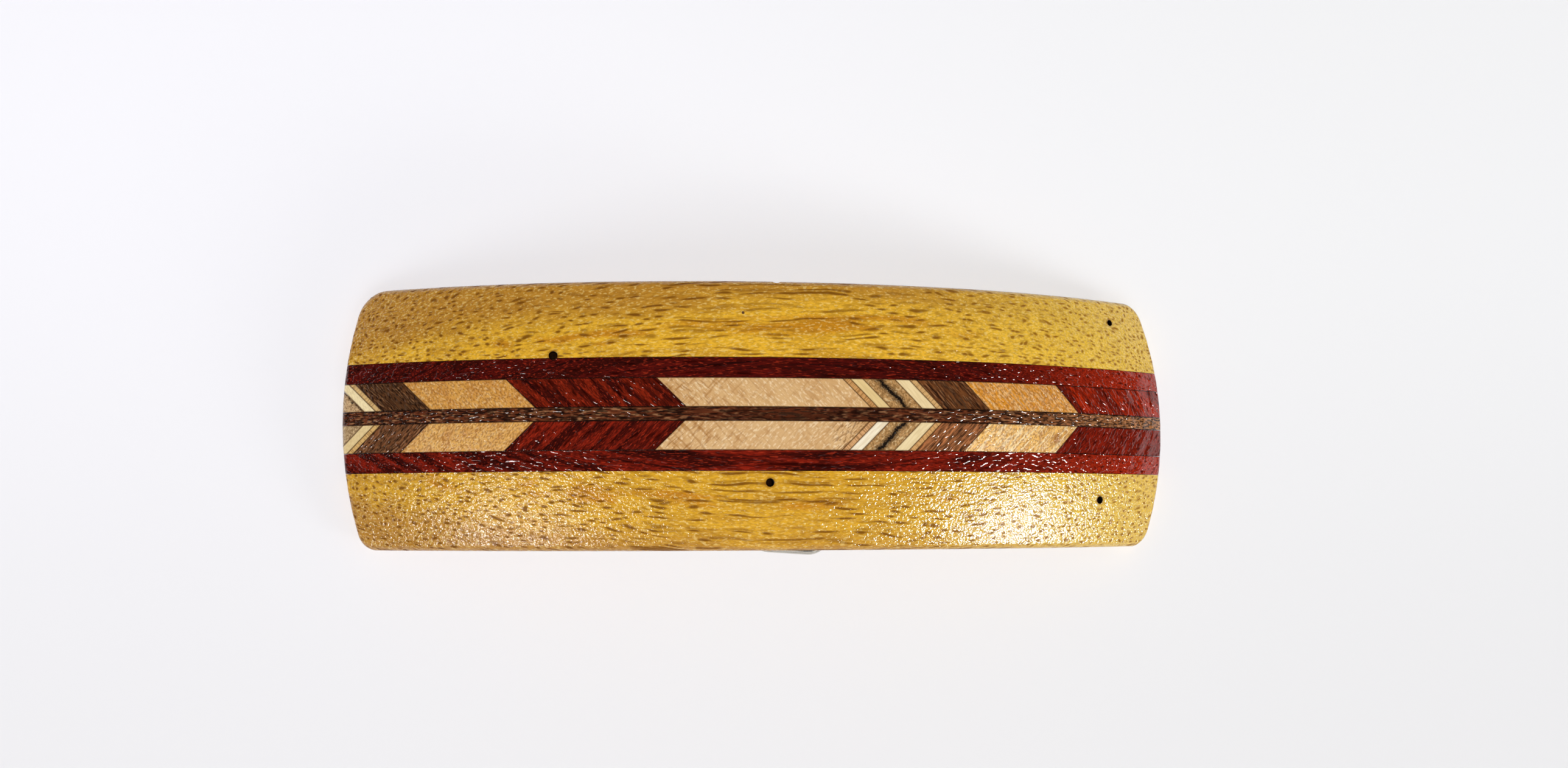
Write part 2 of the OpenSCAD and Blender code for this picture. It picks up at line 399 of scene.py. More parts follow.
def sand_end(blank, side, outline):
    """Sands one end square to the arch, with its rim rounded over and its lower edge eased."""
    along = X * side * math.cos(end_turn) - Z * math.sin(end_turn)
    up = X * side * math.sin(end_turn) + Z * math.cos(end_turn)
    edit(blank)
    for turn, out, y in outline:
        wall = along * math.cos(turn) + Y * math.sin(turn)
        foot = axis + along * out + Y * y
        rim = foot + up * math.sqrt(crown_at(y) ** 2 - out ** 2)
        radial = (along * out + up * (rim - foot).length).normalized()
        lean = math.asin(y / CROWN_R)
        top = radial * math.cos(lean) + Y * math.sin(lean)
        edge_r = END_EDGE_R + (EDGE_R - END_EDGE_R) * math.sin(turn) ** 2
        slice_off(foot, wall)
        for point, facing in rim_round(rim, wall, top, edge_r, RIM_FACETS):
            slice_off(point, facing)
        if abs(turn) < EASED_TO:
            lower = foot + up * math.sqrt(under_r ** 2 - out ** 2)
            slice_off(lower - wall * UNDER_EDGE, (wall - radial).normalized())
    close()


def sanded_blank():
    """The whole slab, turned to its arch, sanded at both ends and flat where it rests."""
    reach = end_turn + CLEAR / ARCH_R
    blank = turned(blank_section(), -reach, reach, axis, ARCH_STEP)
    for side, *sizes in ENDS:
        sand_end(blank, side, end_outline(*sizes))
    edit(blank)
    slice_off((0, 0, 0), -Z)
    bpy.ops.mesh.select_all(action="SELECT")
    bpy.ops.mesh.remove_doubles(threshold=SANDED_WELD)
    close()
    return blank


def parted(blank, name, planes):
    """A copy of the blank or of a strip, with what lies beyond each plane sawn off."""
    piece = copy_of(blank, name)
    edit(piece)
    for point, facing in planes:
        slice_off(point, facing)
    close()
    return piece


def strip(blank, node):
    """A strip along the slab, as wide as its solid in the frame."""
    low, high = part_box(node)
    cuts = [(low, -Y), (high, Y)]
    # The rails keep the blank's own outer walls
    return parted(blank, "fine_" + node, [cut for cut in cuts if abs(cut[0].y) < rail_edge - HAIR])


def arrow_node(side_name, i):
    """The node of an arrow piece, counted from the left."""
    return side_name + "_" + ARROWS[i][0]


def arrow_span(side_name, i):
    """Where an arrow piece starts and stops along the edge next to the spine."""
    low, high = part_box(arrow_node(side_name, i))
    if i == 0:
        return low.x, high.x
    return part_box(arrow_node(side_name, i - 1))[1].x + glue_w, high.x


def arrow_band(blank, side_name):
    """The arrow pieces of one side, parted from a strip by slanted cuts."""
    side = SIDES[side_name]
    near, far = sorted((side * band_in, side * band_edge))
    band = parted(blank, "band", [(Y * near, -Y), (Y * far, Y)])
    slant = (X + Y * side).normalized()
    pieces = {}
    for i in range(len(ARROWS)):
        from_x, to_x = arrow_span(side_name, i)
        cuts = []
        if i > 0:
            cuts.append((X * from_x + Y * side * band_in, -slant))
        if i < len(ARROWS) - 1:
            cuts.append((X * to_x + Y * side * band_in, slant))
        node = arrow_node(side_name, i)
        pieces[node] = parted(band, "fine_" + node, cuts)
    bpy.data.objects.remove(band)
    return pieces


def borer(x, y, radius):
    """A round tool that stands in the top at x, y and reaches down by a wormhole's depth."""
    reach = WORMHOLE_DEPTH + CLEAR
    surface = axis.z + math.sqrt(crown_at(y) ** 2 - x ** 2)
    return round_bar("borer", radius, reach, (x, y, surface - WORMHOLE_DEPTH + reach / 2))


def wooden_pieces(finish):
    """All the pieces of the slab in their own finishes, with the wormholes and the nick."""
    blank = sanded_blank()
    pieces = {node: strip(blank, node) for node in STRIPS}
    for side_name in SIDES:
        pieces.update(arrow_band(blank, side_name))
    bpy.data.objects.remove(blank)
    for node, piece in pieces.items():
        piece.data.materials.append(finish[node][1])
    hole_lining = wormhole_inside()
    for x, y, radius, nodes in WORMHOLES:
        for node in nodes:
            tool = borer(x, y, radius)
            tool.data.materials.append(hole_lining)
            boolean(pieces[node], tool, "DIFFERENCE")
    nick_at = (NICK_X, rail_edge + NICK_R - NICK_DEPTH, top_z)
    tool = round_bar("nick", NICK_R, 2 * top_z, nick_at)
    tool.data.materials.append(finish["back_rail"][1])
    boolean(pieces["back_rail"], tool, "DIFFERENCE")
    return pieces


# The steel clip

def soften(piece):
    """Takes the sharpness off every edge of a turned steel part or a tab."""
    edit(piece)
    bpy.ops.mesh.select_all(action="DESELECT")
    bpy.ops.mesh.select_mode(type="EDGE")
    bpy.ops.mesh.edges_select_sharp(sharpness=SMOOTH_BELOW)
    bpy.ops.mesh.bevel(offset=STEEL_EDGE, segments=2, affect="EDGES")
    bpy.ops.mesh.select_mode(type="VERT")
    close()
    return piece


def steel_section(name, centre, out_r, thick, half_w):
    """The section of a flat strip of steel, where its bend is highest, with eased corners."""
    middle = centre + Z * (out_r - thick / 2)
    bpy.ops.object.select_all(action="DESELECT")
    bpy.ops.mesh.primitive_plane_add(size=1, location=middle, rotation=(0, QUARTER_TURN, 0))
    section = placed(name)
    edit(section)
    bpy.ops.transform.resize(value=(1, 2 * half_w, thick), center_override=middle)
    for side in (Y, -Y):
        for face, height in ((Z, out_r), (-Z, out_r - thick)):
            corner = centre + Z * height + side * (half_w - STEEL_EDGE)
            slice_off(corner, (side + face).normalized(), fill=False)
    close()
    return section


def plan_walls(turn, middle, low, high, corner_r):
    """The walls of a rounded box in plan: the way each faces and a point on it.

    Where the box isn't turned, its long walls are the section's own."""
    along = X * math.cos(turn) + Y * math.sin(turn)
    across = Y * math.cos(turn) - X * math.sin(turn)
    yield -along, middle + along * low[0]
    yield along, middle + along * high[0]
    if turn:
        yield -across, middle + across * low[1]
        yield across, middle + across * high[1]
    for side_x, corner_x in ((-1, low[0] + corner_r), (1, high[0] - corner_r)):
        for side_y, corner_y in ((-1, low[1] + corner_r), (1, high[1] - corner_r)):
            corner = middle + along * corner_x + across * corner_y
            for i in range(CORNER_FACETS):
                lean = QUARTER_TURN * (i + 0.5) / CORNER_FACETS
                facing = along * side_x * math.cos(lean) + across * side_y * math.sin(lean)
                yield facing, corner + facing * corner_r


def ease_rim(centre, radius, face, facing, foot, roll=0):
    """Eases a wall's rim at the outer or inner face of the bent steel, or rolls it over."""
    out = Vector((foot.x, 0, math.sqrt(radius ** 2 - foot.x ** 2)))
    rim = Vector((centre.x, foot.y, centre.z)) + out
    if roll:
        for point, tilted in rim_round(rim, facing, out.normalized(), roll, ROLL_FACETS):
            slice_off(point, tilted)
    else:
        edge = (facing + out.normalized() * face).normalized()
        slice_off(rim - facing * STEEL_EDGE, edge)


def stamped(name, centre, out_r, thick, plan, roll=0):
    """A strip of steel bent to a radius and stamped to a rounded box in plan.

    The plan is its turn about Z, its middle, its low and high corners and their radius.
    Its walls at the front may be rolled over by a radius."""
    turn, middle, low, high, corner_r = plan
    half_w = max(-low[1], high[1]) + (CLEAR if turn else 0)
    bend = math.asin((max(-low[0], high[0]) + CLEAR) / out_r)
    section = steel_section(name, centre, out_r, thick, half_w)
    piece = turned(section, -bend, bend, centre, STEEL_STEP)
    edit(piece)
    for facing, foot in plan_walls(turn, middle, low, high, corner_r):
        slice_off(foot, facing)
        ease_rim(centre, out_r, 1, facing, foot, roll if facing.y < -HAIR else 0)
        # Past this, a flat cut would reach a long strip's other end
        if turn or abs(facing.y) < math.sin(EASED_TO):
            ease_rim(centre, out_r - thick, -1, facing, foot)
    close()
    return piece


def bar_across(name, x, z, radius, length):
    """A round bar across the clip, such as its pin."""
    return round_bar(name, radius, length, (x, 0, z), (QUARTER_TURN, 0, 0))


def ear(x, y):
    """A round-ended tab that hangs from the base plate and carries a pin."""
    tab = bar_across("ear", x, pin_z, EAR_R, CLIP_T)
    edit(tab)
    bpy.ops.mesh.select_all(action="DESELECT")
    close()
    for corner in tab.data.vertices:
        corner.select = corner.co.z > pin_z + HAIR
    bpy.ops.object.mode_set(mode="EDIT")
    bpy.ops.transform.translate(value=Z * plate_in_r)
    out = Vector((x, 0, math.sqrt(plate_in_r ** 2 - x ** 2))).normalized()
    slice_off(axis + out * (plate_in_r + plate_out_r) / 2, out)
    bpy.ops.mesh.select_all(action="SELECT")
    bpy.ops.transform.translate(value=Y * y)
    close()
    return soften(tab)


def steel_clip(nickel):
    """The base plate with its cross strap and ears, the closing arm, its hinge and its catch."""
    plate = (0, Vector(), (-CLIP_LEN / 2, -CLIP_W / 2), (CLIP_LEN / 2, CLIP_W / 2), PLATE_CORNER_R)
    arm = (0, Vector(), (-PIN_X, -ARM_W / 2), (ARM_END, ARM_W / 2), ARM_CORNER_R)
    strap = (
        -STRAP_TURN, X * STRAP_X, (-STRAP_W / 2, -strap_reach), (STRAP_W / 2, STRAP_FROM),
        STRAP_CORNER_R,
    )
    strap_t = CLIP_T - 2 * STRAP_SINK
    clip = stamped("fine_clip", axis, plate_out_r, CLIP_T, plate)
    parts = [
        stamped("strap", axis, plate_out_r - STRAP_SINK, strap_t, strap, STRAP_ROLL),
        stamped("arm", arm_axis, ARM_BEND_R, ARM_T, arm),
        soften(bar_across("barrel", -PIN_X, pin_z, BARREL_R, BARREL_LEN)),
        soften(bar_across("hinge_pin", -PIN_X, pin_z, PIN_R, PIN_LEN)),
        soften(bar_across("catch_pin", PIN_X, pin_z - ARM_T / 2, PIN_R, PIN_LEN)),
    ]
    for x in (-PIN_X, PIN_X):
        for y in (-EAR_Y, EAR_Y):
            parts.append(ear(x, y))
    for part in parts:
        boolean(clip, part, "UNION")
    clip.data.materials.clear()
    clip.data.materials.append(nickel)
    return clip


# Parts of the finishes

def linear(srgb):
    """An sRGB hex colour as linear red, green, blue and alpha."""
    parts = [int(srgb[i:i + 2], 16) / 255 for i in (1, 3, 5)]
    return [c / 12.92 if c <= 0.04045 else ((c + 0.055) / 1.055) ** 2.4 for c in parts] + [1]


def add(tree, kind, sockets=None, out=0, **settings):
    """Adds a node. A socket is linked to another node's output, or set to a value."""
    node = tree.nodes.new("ShaderNode" + kind)
    for name, value in settings.items():
        setattr(node, name, value)
    for name, value in (sockets or {}).items():
        if isinstance(value, bpy.types.NodeSocket):
            tree.links.new(value, node.inputs[name])
        else:
            node.inputs[name].default_value = value
    return node.outputs[out] if node.outputs else None


def new_material(name, turn=0, centre=(0, 0, 0), tilt=0):
    """A new material and its grain frame: millimetres, with X along the fibres and Y
    through the growth rings, which may lie tilted in the piece."""
    material = bpy.data.materials.new(name)
    material.use_nodes = True
    tree = material.node_tree
    tree.nodes.clear()
    place = add(tree, "TexCoord", out="Object")
    moved = add(tree, "VectorMath", {0: place, 1: centre}, operation="SUBTRACT")
    grain = add(tree, "Mapping", {
        "Vector": moved, "Rotation": (0, 0, turn), "Scale": [1 / MM] * 3,
    })
    if tilt:
        grain = add(tree, "Mapping", {"Vector": grain, "Rotation": (tilt, 0, 0)})
    return material, tree, grain


def surface(tree, sockets):
    """Ends a material in a shader with these settings."""
    shader = add(tree, "BsdfPrincipled", sockets)
    add(tree, "OutputMaterial", {"Surface": shader})


def slab_place(tree, letter, size):
    """How far along, across or up the slab, in times a size."""
    place = add(tree, "TexCoord", out="Object")
    part = add(tree, "SeparateXYZ", {"Vector": place}, out=letter)
    return add(tree, "Math", {0: part, 1: 1 / size}, operation="MULTIPLY")


def along_slab(tree, start, stop, size=HALF_LEN, first=0, last=1):
    """Goes softly from one value to another between two places along the slab."""
    place = slab_place(tree, "X", size)
    return add(tree, "MapRange", {0: place, 1: start, 2: stop, 3: first, 4: last}, **SOFT_STEP)


def streaks(tree, grain, along, across, deep=None, detail=2, ripple=0.0, low=0.0, high=1.0):
    """Soft streaks so many millimetres long, wide and deep, from 0 below low to 1 above high."""
    stretched = add(tree, "Mapping", {
        "Vector": grain, "Scale": (1 / along, 1 / across, 1 / (deep or across)),
    })
    noise = add(tree, "TexNoise", {
        "Vector": stretched, "Scale": 1, "Detail": detail, "Distortion": ripple,
    })
    return add(tree, "MapRange", {0: noise, 1: low, 2: high}, **SOFT_STEP)


def pores(tree, grain, width, spacing, wander):
    """Open pores: tubes that wander along the fibres. 1 in a pore and 0 between them.

    The arch cuts them across near its ends, into dots, and lengthwise at its middle."""
    slow = add(tree, "Mapping", {
        "Vector": grain, "Scale": (1 / PORE_RUN, 1 / PORE_DRIFT, 1 / PORE_DRIFT),
    })
    drift = add(tree, "TexNoise", {"Vector": slow, "Scale": 1, "Detail": 1}, out="Color")
    moved = add(tree, "VectorMath", {
        0: drift, 1: (0, wander, wander), 2: grain,
    }, operation="MULTIPLY_ADD")
    end_on = add(tree, "Mapping", {
        "Vector": moved, "Rotation": (0, QUARTER_TURN, 0), "Scale": [1 / spacing] * 3,
    })
    distance = add(tree, "TexVoronoi", {
        "Vector": end_on, "Scale": 1, "Randomness": 0.85,
    }, voronoi_dimensions="2D")
    # Some pores are filled more than others
    filled = distance.node.outputs["Color"]
    strength = add(tree, "MapRange", {0: filled, 1: 0.25, 2: 0.6, 3: 0.45, 4: 1}, **SOFT_STEP)
    hole = add(tree, "MapRange", {
        0: distance, 1: 0.25 * width / spacing, 2: 0.75 * width / spacing, 3: 1, 4: 0,
    }, **SOFT_STEP)
    return add(tree, "Math", {0: hole, 1: strength}, operation="MULTIPLY")


def line_at(tree, distance, offset, width, soft):
    """A line of so many millimetres, at an offset from where the distance is nought."""
    off = add(tree, "Math", {0: distance, 1: offset}, operation="SUBTRACT")
    away = add(tree, "Math", {0: off}, operation="ABSOLUTE")
    return add(tree, "MapRange", {
        0: away, 1: width / 2, 2: width / 2 + soft, 3: 1, 4: 0,
    }, **SOFT_STEP)


def spot(tree, x, y, radius, soft):
    """A round spot in the top of the slab, its edge soft over so many millimetres."""
    aside = [
        add(tree, "Math", {0: slab_place(tree, letter, MM), 1: value / MM}, operation="SUBTRACT")
        for letter, value in (("X", x), ("Y", y))
    ]
    away = add(tree, "CombineXYZ", {"X": aside[0], "Y": aside[1]})
    away = add(tree, "VectorMath", {0: away}, out="Value", operation="LENGTH")
    edge = radius / MM
    return add(tree, "MapRange", {0: away, 1: edge, 2: edge + soft, 3: 1, 4: 0}, **SOFT_STEP)


def tint(tree, amount, under, over, strength=1.0):
    """One colour or pattern laid over another, by a pattern from 0 to 1."""
    factor = add(tree, "Math", {0: amount, 1: strength}, operation="MULTIPLY")
    return add(tree, "Mix", {
        0: factor, MIX_A: under, MIX_B: over,
    }, out=MIX_RESULT, data_type="RGBA")


def glued(tree, colour, distance, half, glue):
    """Darkens the line of glue on both faces of a piece, half its width from its middle."""
    away = add(tree, "Math", {0: distance}, operation="ABSOLUTE")
    line = add(tree, "MapRange", {0: away, 1: half - GLUE_LINE, 2: half}, **SOFT_STEP)
    return tint(tree, line, colour, linear(glue), 0.8)


def glued_sides(tree, colour, near, far, glue):
    """The glue lines on the two walls of a piece that lies this far out from the middle."""
    aside = add(tree, "Math", {0: slab_place(tree, "Y", MM)}, operation="ABSOLUTE")
    off = add(tree, "Math", {0: aside, 1: (near + far) / 2 / MM}, operation="SUBTRACT")
    return glued(tree, colour, off, (far - near) / 2 / MM, glue)


def glued_round(tree, colour, grain, half, glue):
    """The glue lines on an arrow piece's two slanted faces and its two straight ones."""
    across = add(tree, "SeparateXYZ", {"Vector": grain}, out="Y")
    colour = glued(tree, colour, across, half, glue)
    return glued_sides(tree, colour, band_in, band_edge, glue)


def wrinkles(tree, grain, across, low, high, height):
    """Rows of a dark wood's relief. The varnish wrinkles along the fibres, and each wrinkle
    glints. A tenth of a millimetre wide, they are drawn three times as wide to show. They
    stand on waves of a millimetre or two that bend a reflection's edge."""
    ridges = streaks(tree, grain, WRINKLE_RUN, across, detail=0, low=low, high=high)
    waves = streaks(tree, grain, WAVE_RUN, WAVE_W, detail=0, low=0.2, high=0.8)
    return [(ridges, height), (waves, WAVE_HEIGHT)]


def varnish(tree, colour, relief, gloss, open_pored=False):
    """Gloss varnish over the wood: a clear coat that sinks into the pores by so many
    millimetres and lies uneven over the grain between them. It may leave the widest pores
    open, where the relief's first row is the pores."""
    whole = 1
    if open_pored:
        holes = relief[0][0]
        whole = add(tree, "Math", {0: holes, 1: -PORE_BARE, 2: 1}, operation="MULTIPLY_ADD")
    height = None
    for pattern, depth in relief:
        layer = add(tree, "Math", {0: pattern, 1: depth}, operation="MULTIPLY")
        height = layer if height is None else add(tree, "Math", {0: height, 1: layer})
    normal = add(tree, "Bump", {"Height": height, "Strength": 1, "Distance": MM})
    surface(tree, {
        "Base Color": colour, "Roughness": BARE_WOOD, "Specular IOR Level": 0,
        "Coat Weight": whole, "Coat Roughness": gloss, "Coat IOR": VARNISH_IOR,
        "Coat Normal": normal,
    })


# Finishes

def osage_orange(name, side, tone, dull_from):
    """Osage orange: golden, with brown open pores that show as dots near the ends and as
    dashes at the middle, and a duller, browner band towards the slab's edge. The varnish
    over its cut fibres lies in granules that break each highlight up."""
    material, tree, grain = new_material(name, RAIL_RUNOUT * side, tilt=RAIL_LEAN * side)
    # The rings lie at this distance out from the middle of the slab
    across = add(tree, "SeparateXYZ", {"Vector": grain}, out="Y")
    ring = add(tree, "Math", {0: across, 1: side}, operation="MULTIPLY")
    sway = streaks(tree, grain, 22, 3, detail=3, ripple=0.3)
    ring = add(tree, "Math", {0: sway, 1: RING_SWAY, 2: ring}, operation="MULTIPLY_ADD")
    dull = add(tree, "MapRange", {0: ring, 1: dull_from - 1, 2: dull_from + 3.5}, **SOFT_STEP)
    colour = tint(tree, dull, linear(tone), linear("#c28a30"))
    # One ring, a millimetre wide, is orange for part of its length
    amber = line_at(tree, ring, offset=6.4, width=0.7, soft=0.9)
    patchy = streaks(tree, grain, 14, 2.4, low=0.45, high=0.62)
    amber = add(tree, "Math", {0: amber, 1: patchy}, operation="MULTIPLY")
    colour = tint(tree, amber, colour, linear("#c47a12"), 0.75)
    # Growth lines half a millimetre wide, and clouds of 6 by 1.5 mm
    lines = streaks(tree, grain, 12, 0.5, deep=1.6, detail=3, low=0.5, high=0.72)
    colour = tint(tree, lines, colour, linear("#b0761c"), 0.4)
    cloud = streaks(tree, grain, 6, 1.5, low=0.45, high=0.7)
    colour = tint(tree, cloud, colour, linear("#a87222"), 0.35)
    # Paler wood and painted light: the gold goes lighter towards the right end, partly the wood's
    # own tone and partly painted light from the right
    paler_wood_and_painted_light = along_slab(tree, 0.1, 0.95)
    colour = tint(tree, paler_wood_and_painted_light, colour, linear("#ffd24a"), 0.85)
    # Fibres are a fiftieth of a millimetre thick. Their bundles show, a fifth of one wide
    fibres = streaks(tree, grain, 0.6, 0.2, low=0.4, high=0.62)
    colour = tint(tree, fibres, colour, linear("#8a5a18"), 0.34)
    # Light speckles between the fibres: partly the wood's pale fibres and partly painted glints of
    # the varnish
    glow = streaks(tree, grain, 0.5, 0.22, detail=1, low=0.54, high=0.68)
    colour = tint(tree, glow, colour, linear("#ffe28e"), 0.4)
    # Pores a quarter to a third of a millimetre wide, each with a brown rim
    rims = pores(tree, grain, width=0.42, spacing=0.63, wander=1.5)
    colour = tint(tree, rims, colour, linear("#9a6414"), 0.25)
    holes = pores(tree, grain, width=0.27, spacing=0.63, wander=1.5)
    # The pores too are painted lighter towards the right end, partly with painted light
    brown = tint(tree, paler_wood_and_painted_light, linear("#70400c"), linear("#9c661c"))
    colour = tint(tree, holes, colour, brown, 0.85)
    for x, y, radius, nodes in WORMHOLES:
        colour = tint(tree, spot(tree, x, y, radius, 0.35), colour, linear("#6b3413"), 0.5)
    colour = tint(tree, spot(tree, *SPECK, 0.1), colour, linear("#35182a"), 0.9)
    # Granules of varnish, a quarter of a millimetre across, are drawn a third wider,
    # because finer ones blur into a haze at this distance
    granules = streaks(tree, grain, 0.37, 0.31, detail=1, low=0.2, high=0.8)
    varnish(tree, colour, [(holes, -0.02), (granules, 0.061)], RAIL_GLOSS, open_pored=True)
    return material


def padauk_wood(name, tone, painted_light_right, turn=0, centre=(0, 0, 0), tilt=0):
    """Padauk: deep red with near-black rings, short dark fibres and wide open pores, and
    painted lighter, some way to orange, at the right end: painted light."""
    material, tree, grain = new_material(name, turn, centre, tilt)
    glow = streaks(tree, grain, 9, 0.8, deep=4, detail=4, ripple=0.5, low=0.36, high=0.66)
    colour = tint(tree, glow, linear("#3c0904"), linear(tone))
    rings = streaks(tree, grain, 22, 0.4, deep=8, detail=4, ripple=0.6, low=0.56, high=0.66)
    colour = tint(tree, rings, colour, linear("#140202"), 0.75)
    # Painted light: the red turns lighter and more orange towards the right end
    colour = tint(tree, along_slab(tree, 0.4, 0.95), colour, linear("#c8300a"), painted_light_right)
    # Fibre bundles a seventh of a millimetre wide, darker and lighter
    fibres = streaks(tree, grain, 1.1, 0.14, detail=3, low=0.42, high=0.62)
    colour = tint(tree, fibres, colour, linear("#1c0403"), 0.6)
    embers = streaks(tree, grain, 0.9, 0.15, low=0.56, high=0.68)
    colour = tint(tree, embers, colour, linear("#b8381e"), 0.45)
    holes = pores(tree, grain, width=0.28, spacing=0.85, wander=1.2)
    colour = tint(tree, holes, colour, linear("#200302"), 0.7)
    relief = [(holes, -0.006), *wrinkles(tree, grain, 0.34, 0.54, 0.68, 0.027)]
    return material, tree, grain, colour, relief


def padauk_strip(name, side, tone):
    """The red strip of one side: its rings stand at half a right angle in it."""
    material, tree, grain, colour, relief = padauk_wood(name, tone, 0.75, tilt=STRIP_LEAN * side)
    colour = glued_sides(tree, colour, band_edge, rail_in, DARK_GLUE)
    varnish(tree, colour, relief, DARK_GLOSS, open_pored=True)
    return material


def padauk(name, turn, centre, half, tone):
    """An arrow piece of padauk, with its fibres along its slanted faces."""
    material, tree, grain, colour, relief = padauk_wood(name, tone, 0.3, turn, centre)
    colour = glued_round(tree, colour, grain, half, DARK_GLUE)
    varnish(tree, colour, relief, DARK_GLOSS, open_pored=True)
    return material


def walnut_wood(name, tone, bold, painted_light_right=0, turn=0, centre=(0, 0, 0)):
    """Walnut: brown with darker fibres and short dark pores. The bolder it is, the more
    its fibres stand out from each other. It may be painted lighter at the right end: painted
    light."""
    material, tree, grain = new_material(name, turn, centre)
    colour = linear(tone)
    # Painted light: the brown turns lighter towards the right end
    if painted_light_right:
        colour = tint(tree, along_slab(tree, 0.35, 1), colour, linear("#c88450"), painted_light_right)
    figure = streaks(tree, grain, 8, 0.45, detail=3, ripple=0.4, low=0.4, high=0.62)
    colour = tint(tree, figure, colour, linear("#2a160c"), 0.45)
    # Light and dark fibre bundles, an eighth of a millimetre wide and drawn up to twice
    # as wide in the bold strip, where they show from here
    warm = streaks(tree, grain, 1.2, bold * 0.23, deep=0.6, low=0.5, high=0.66)
    colour = tint(tree, warm, colour, linear("#b08058"), bold * 0.6)
    fleck = streaks(tree, grain, 1.1, bold * 0.21, deep=0.6, low=0.45, high=0.59)
    colour = tint(tree, fleck, colour, linear("#0c0403"), bold * 0.85)
    holes = pores(tree, grain, width=0.2, spacing=0.45, wander=1.2)
    colour = tint(tree, holes, colour, linear("#120806"), 0.8)
    relief = [(holes, -0.005), *wrinkles(tree, grain, 0.3, 0.56, 0.7, bold * 0.026)]
    return material, tree, grain, colour, relief


def walnut_spine(name):
    """The strip along the middle: coarse, and darkest at the middle of its length."""
    material, tree, grain, colour, relief = walnut_wood(name, SPINE_BROWN, bold=1, painted_light_right=0.95)
    from_middle = add(tree, "Math", {0: slab_place(tree, "X", HALF_LEN)}, operation="ABSOLUTE")
    dark_middle = add(tree, "MapRange", {0: from_middle, 1: 0, 2: 0.4, 3: 1, 4: 0}, **SOFT_STEP)
    colour = tint(tree, dark_middle, colour, linear("#2e1006"), 0.45)
    colour = glued(tree, colour, slab_place(tree, "Y", MM), spine_edge / MM, DARK_GLUE)
    varnish(tree, colour, relief, DARK_GLOSS, open_pored=True)
    return material


def walnut(name, turn, centre, half, tone):
    """An arrow piece of walnut: finer than the spine."""
    material, tree, grain, colour, relief = walnut_wood(name, tone, 0.75, 0, turn, centre)
    colour = glued_round(tree, colour, grain, half, DARK_GLUE)
    varnish(tree, colour, relief, DARK_GLOSS, open_pored=True)
    return material


def cherry(name, turn, centre, half, tone, band_and_highlight_strength=0, smear=None):
    """Cherry: an even orange-tan, mottled by spots a fifth of a millimetre across, and
    here and there banded pale, a third of a millimetre wide, along its slanted faces: partly
    its figure and partly painted highlight."""
    material, tree, grain = new_material(name, turn, centre)
    figure = streaks(tree, grain, 3, 1.2, detail=3, ripple=0.3, low=0.42, high=0.66)
    colour = tint(tree, figure, linear(tone), linear("#b8722e"), 0.4)
    light = streaks(tree, grain, 0.5, 0.22, low=0.5, high=0.66)
    colour = tint(tree, light, colour, linear("#f6d79e"), 0.5)
    # Pale bands along the slanted faces: partly the cherry's figure and partly painted highlight
    pale_bands_and_highlight = streaks(tree, grain, 4.5, 0.3, deep=1.5, detail=1, low=0.46, high=0.64)
    colour = tint(tree, pale_bands_and_highlight, colour, linear("#ffe6b0"), band_and_highlight_strength)
    speckle = streaks(tree, grain, 0.35, 0.18, low=0.43, high=0.62)
    colour = tint(tree, speckle, colour, linear("#93571e"), 0.65)
    if smear:
        colour = tint(tree, spot(tree, *smear, 0.7), colour, linear("#8a4a18"), 0.6)
    colour = glued_round(tree, colour, grain, half, PALE_GLUE)
    varnish(tree, colour, [(speckle, -0.02)], PALE_GLOSS)
    return material


def maple(name, turn, centre, half, tone):
    """Maple: creamy, with tan rays that cross the fibres, a few brown smears, and short
    dark flecks at one end of the piece in front."""
    material, tree, grain = new_material(name, turn, centre)
    figure = streaks(tree, grain, 4, 1.5, detail=4, ripple=0.4, low=0.38, high=0.66)
    colour = tint(tree, figure, linear(tone), linear("#c4925a"), 0.4)
    light = streaks(tree, grain, 0.5, 0.22, low=0.5, high=0.68)
    colour = tint(tree, light, colour, linear("#fae4bc"), 0.55)
    # Rays and smears a third of a millimetre wide, at right angles. They fade to the right
    fading = along_slab(tree, *RAYS_FADE, MM, first=1, last=0.35)
    for along, across, brown in ((0.3, 2.8, "#a9743a"), (2.8, 0.3, "#a06a32")):
        rays = streaks(tree, grain, along, across, ripple=0.4, low=0.5, high=0.7)
        rays = add(tree, "Math", {0: rays, 1: fading}, operation="MULTIPLY")
        colour = tint(tree, rays, colour, linear(brown), 0.75)
    # Flecks a sixth of a millimetre wide
    flecks = streaks(tree, grain, 0.6, 0.17, detail=1, low=0.5, high=0.6)
    to_right = along_slab(tree, *FLECKS_BEGIN, MM)
    in_front = add(tree, "Math", {0: slab_place(tree, "Y", MM), 1: 0}, operation="LESS_THAN")
    flecked = add(tree, "Math", {0: to_right, 1: in_front}, operation="MULTIPLY")
    flecks = add(tree, "Math", {0: flecks, 1: flecked}, operation="MULTIPLY")
    colour = tint(tree, flecks, colour, linear("#7a4c22"), 0.65)
    colour = glued_round(tree, colour, grain, half, PALE_GLUE)
    varnish(tree, colour, [(rays, -0.008)], PALE_GLOSS)
    return material


def holly(name, turn, centre, half, tone):
    """Holly: the palest wood, almost without figure. Its streaks are a fifth of a
    millimetre wide."""
    material, tree, grain = new_material(name, turn, centre)
    figure = streaks(tree, grain, 2.4, 0.22, detail=3, low=0.35, high=0.65)
    colour = tint(tree, figure, linear(tone), linear("#c9a86e"), 0.35)
    colour = glued_round(tree, colour, grain, half, PALE_GLUE)
    varnish(tree, colour, [(figure, 0.006)], PALE_GLOSS)
    return material


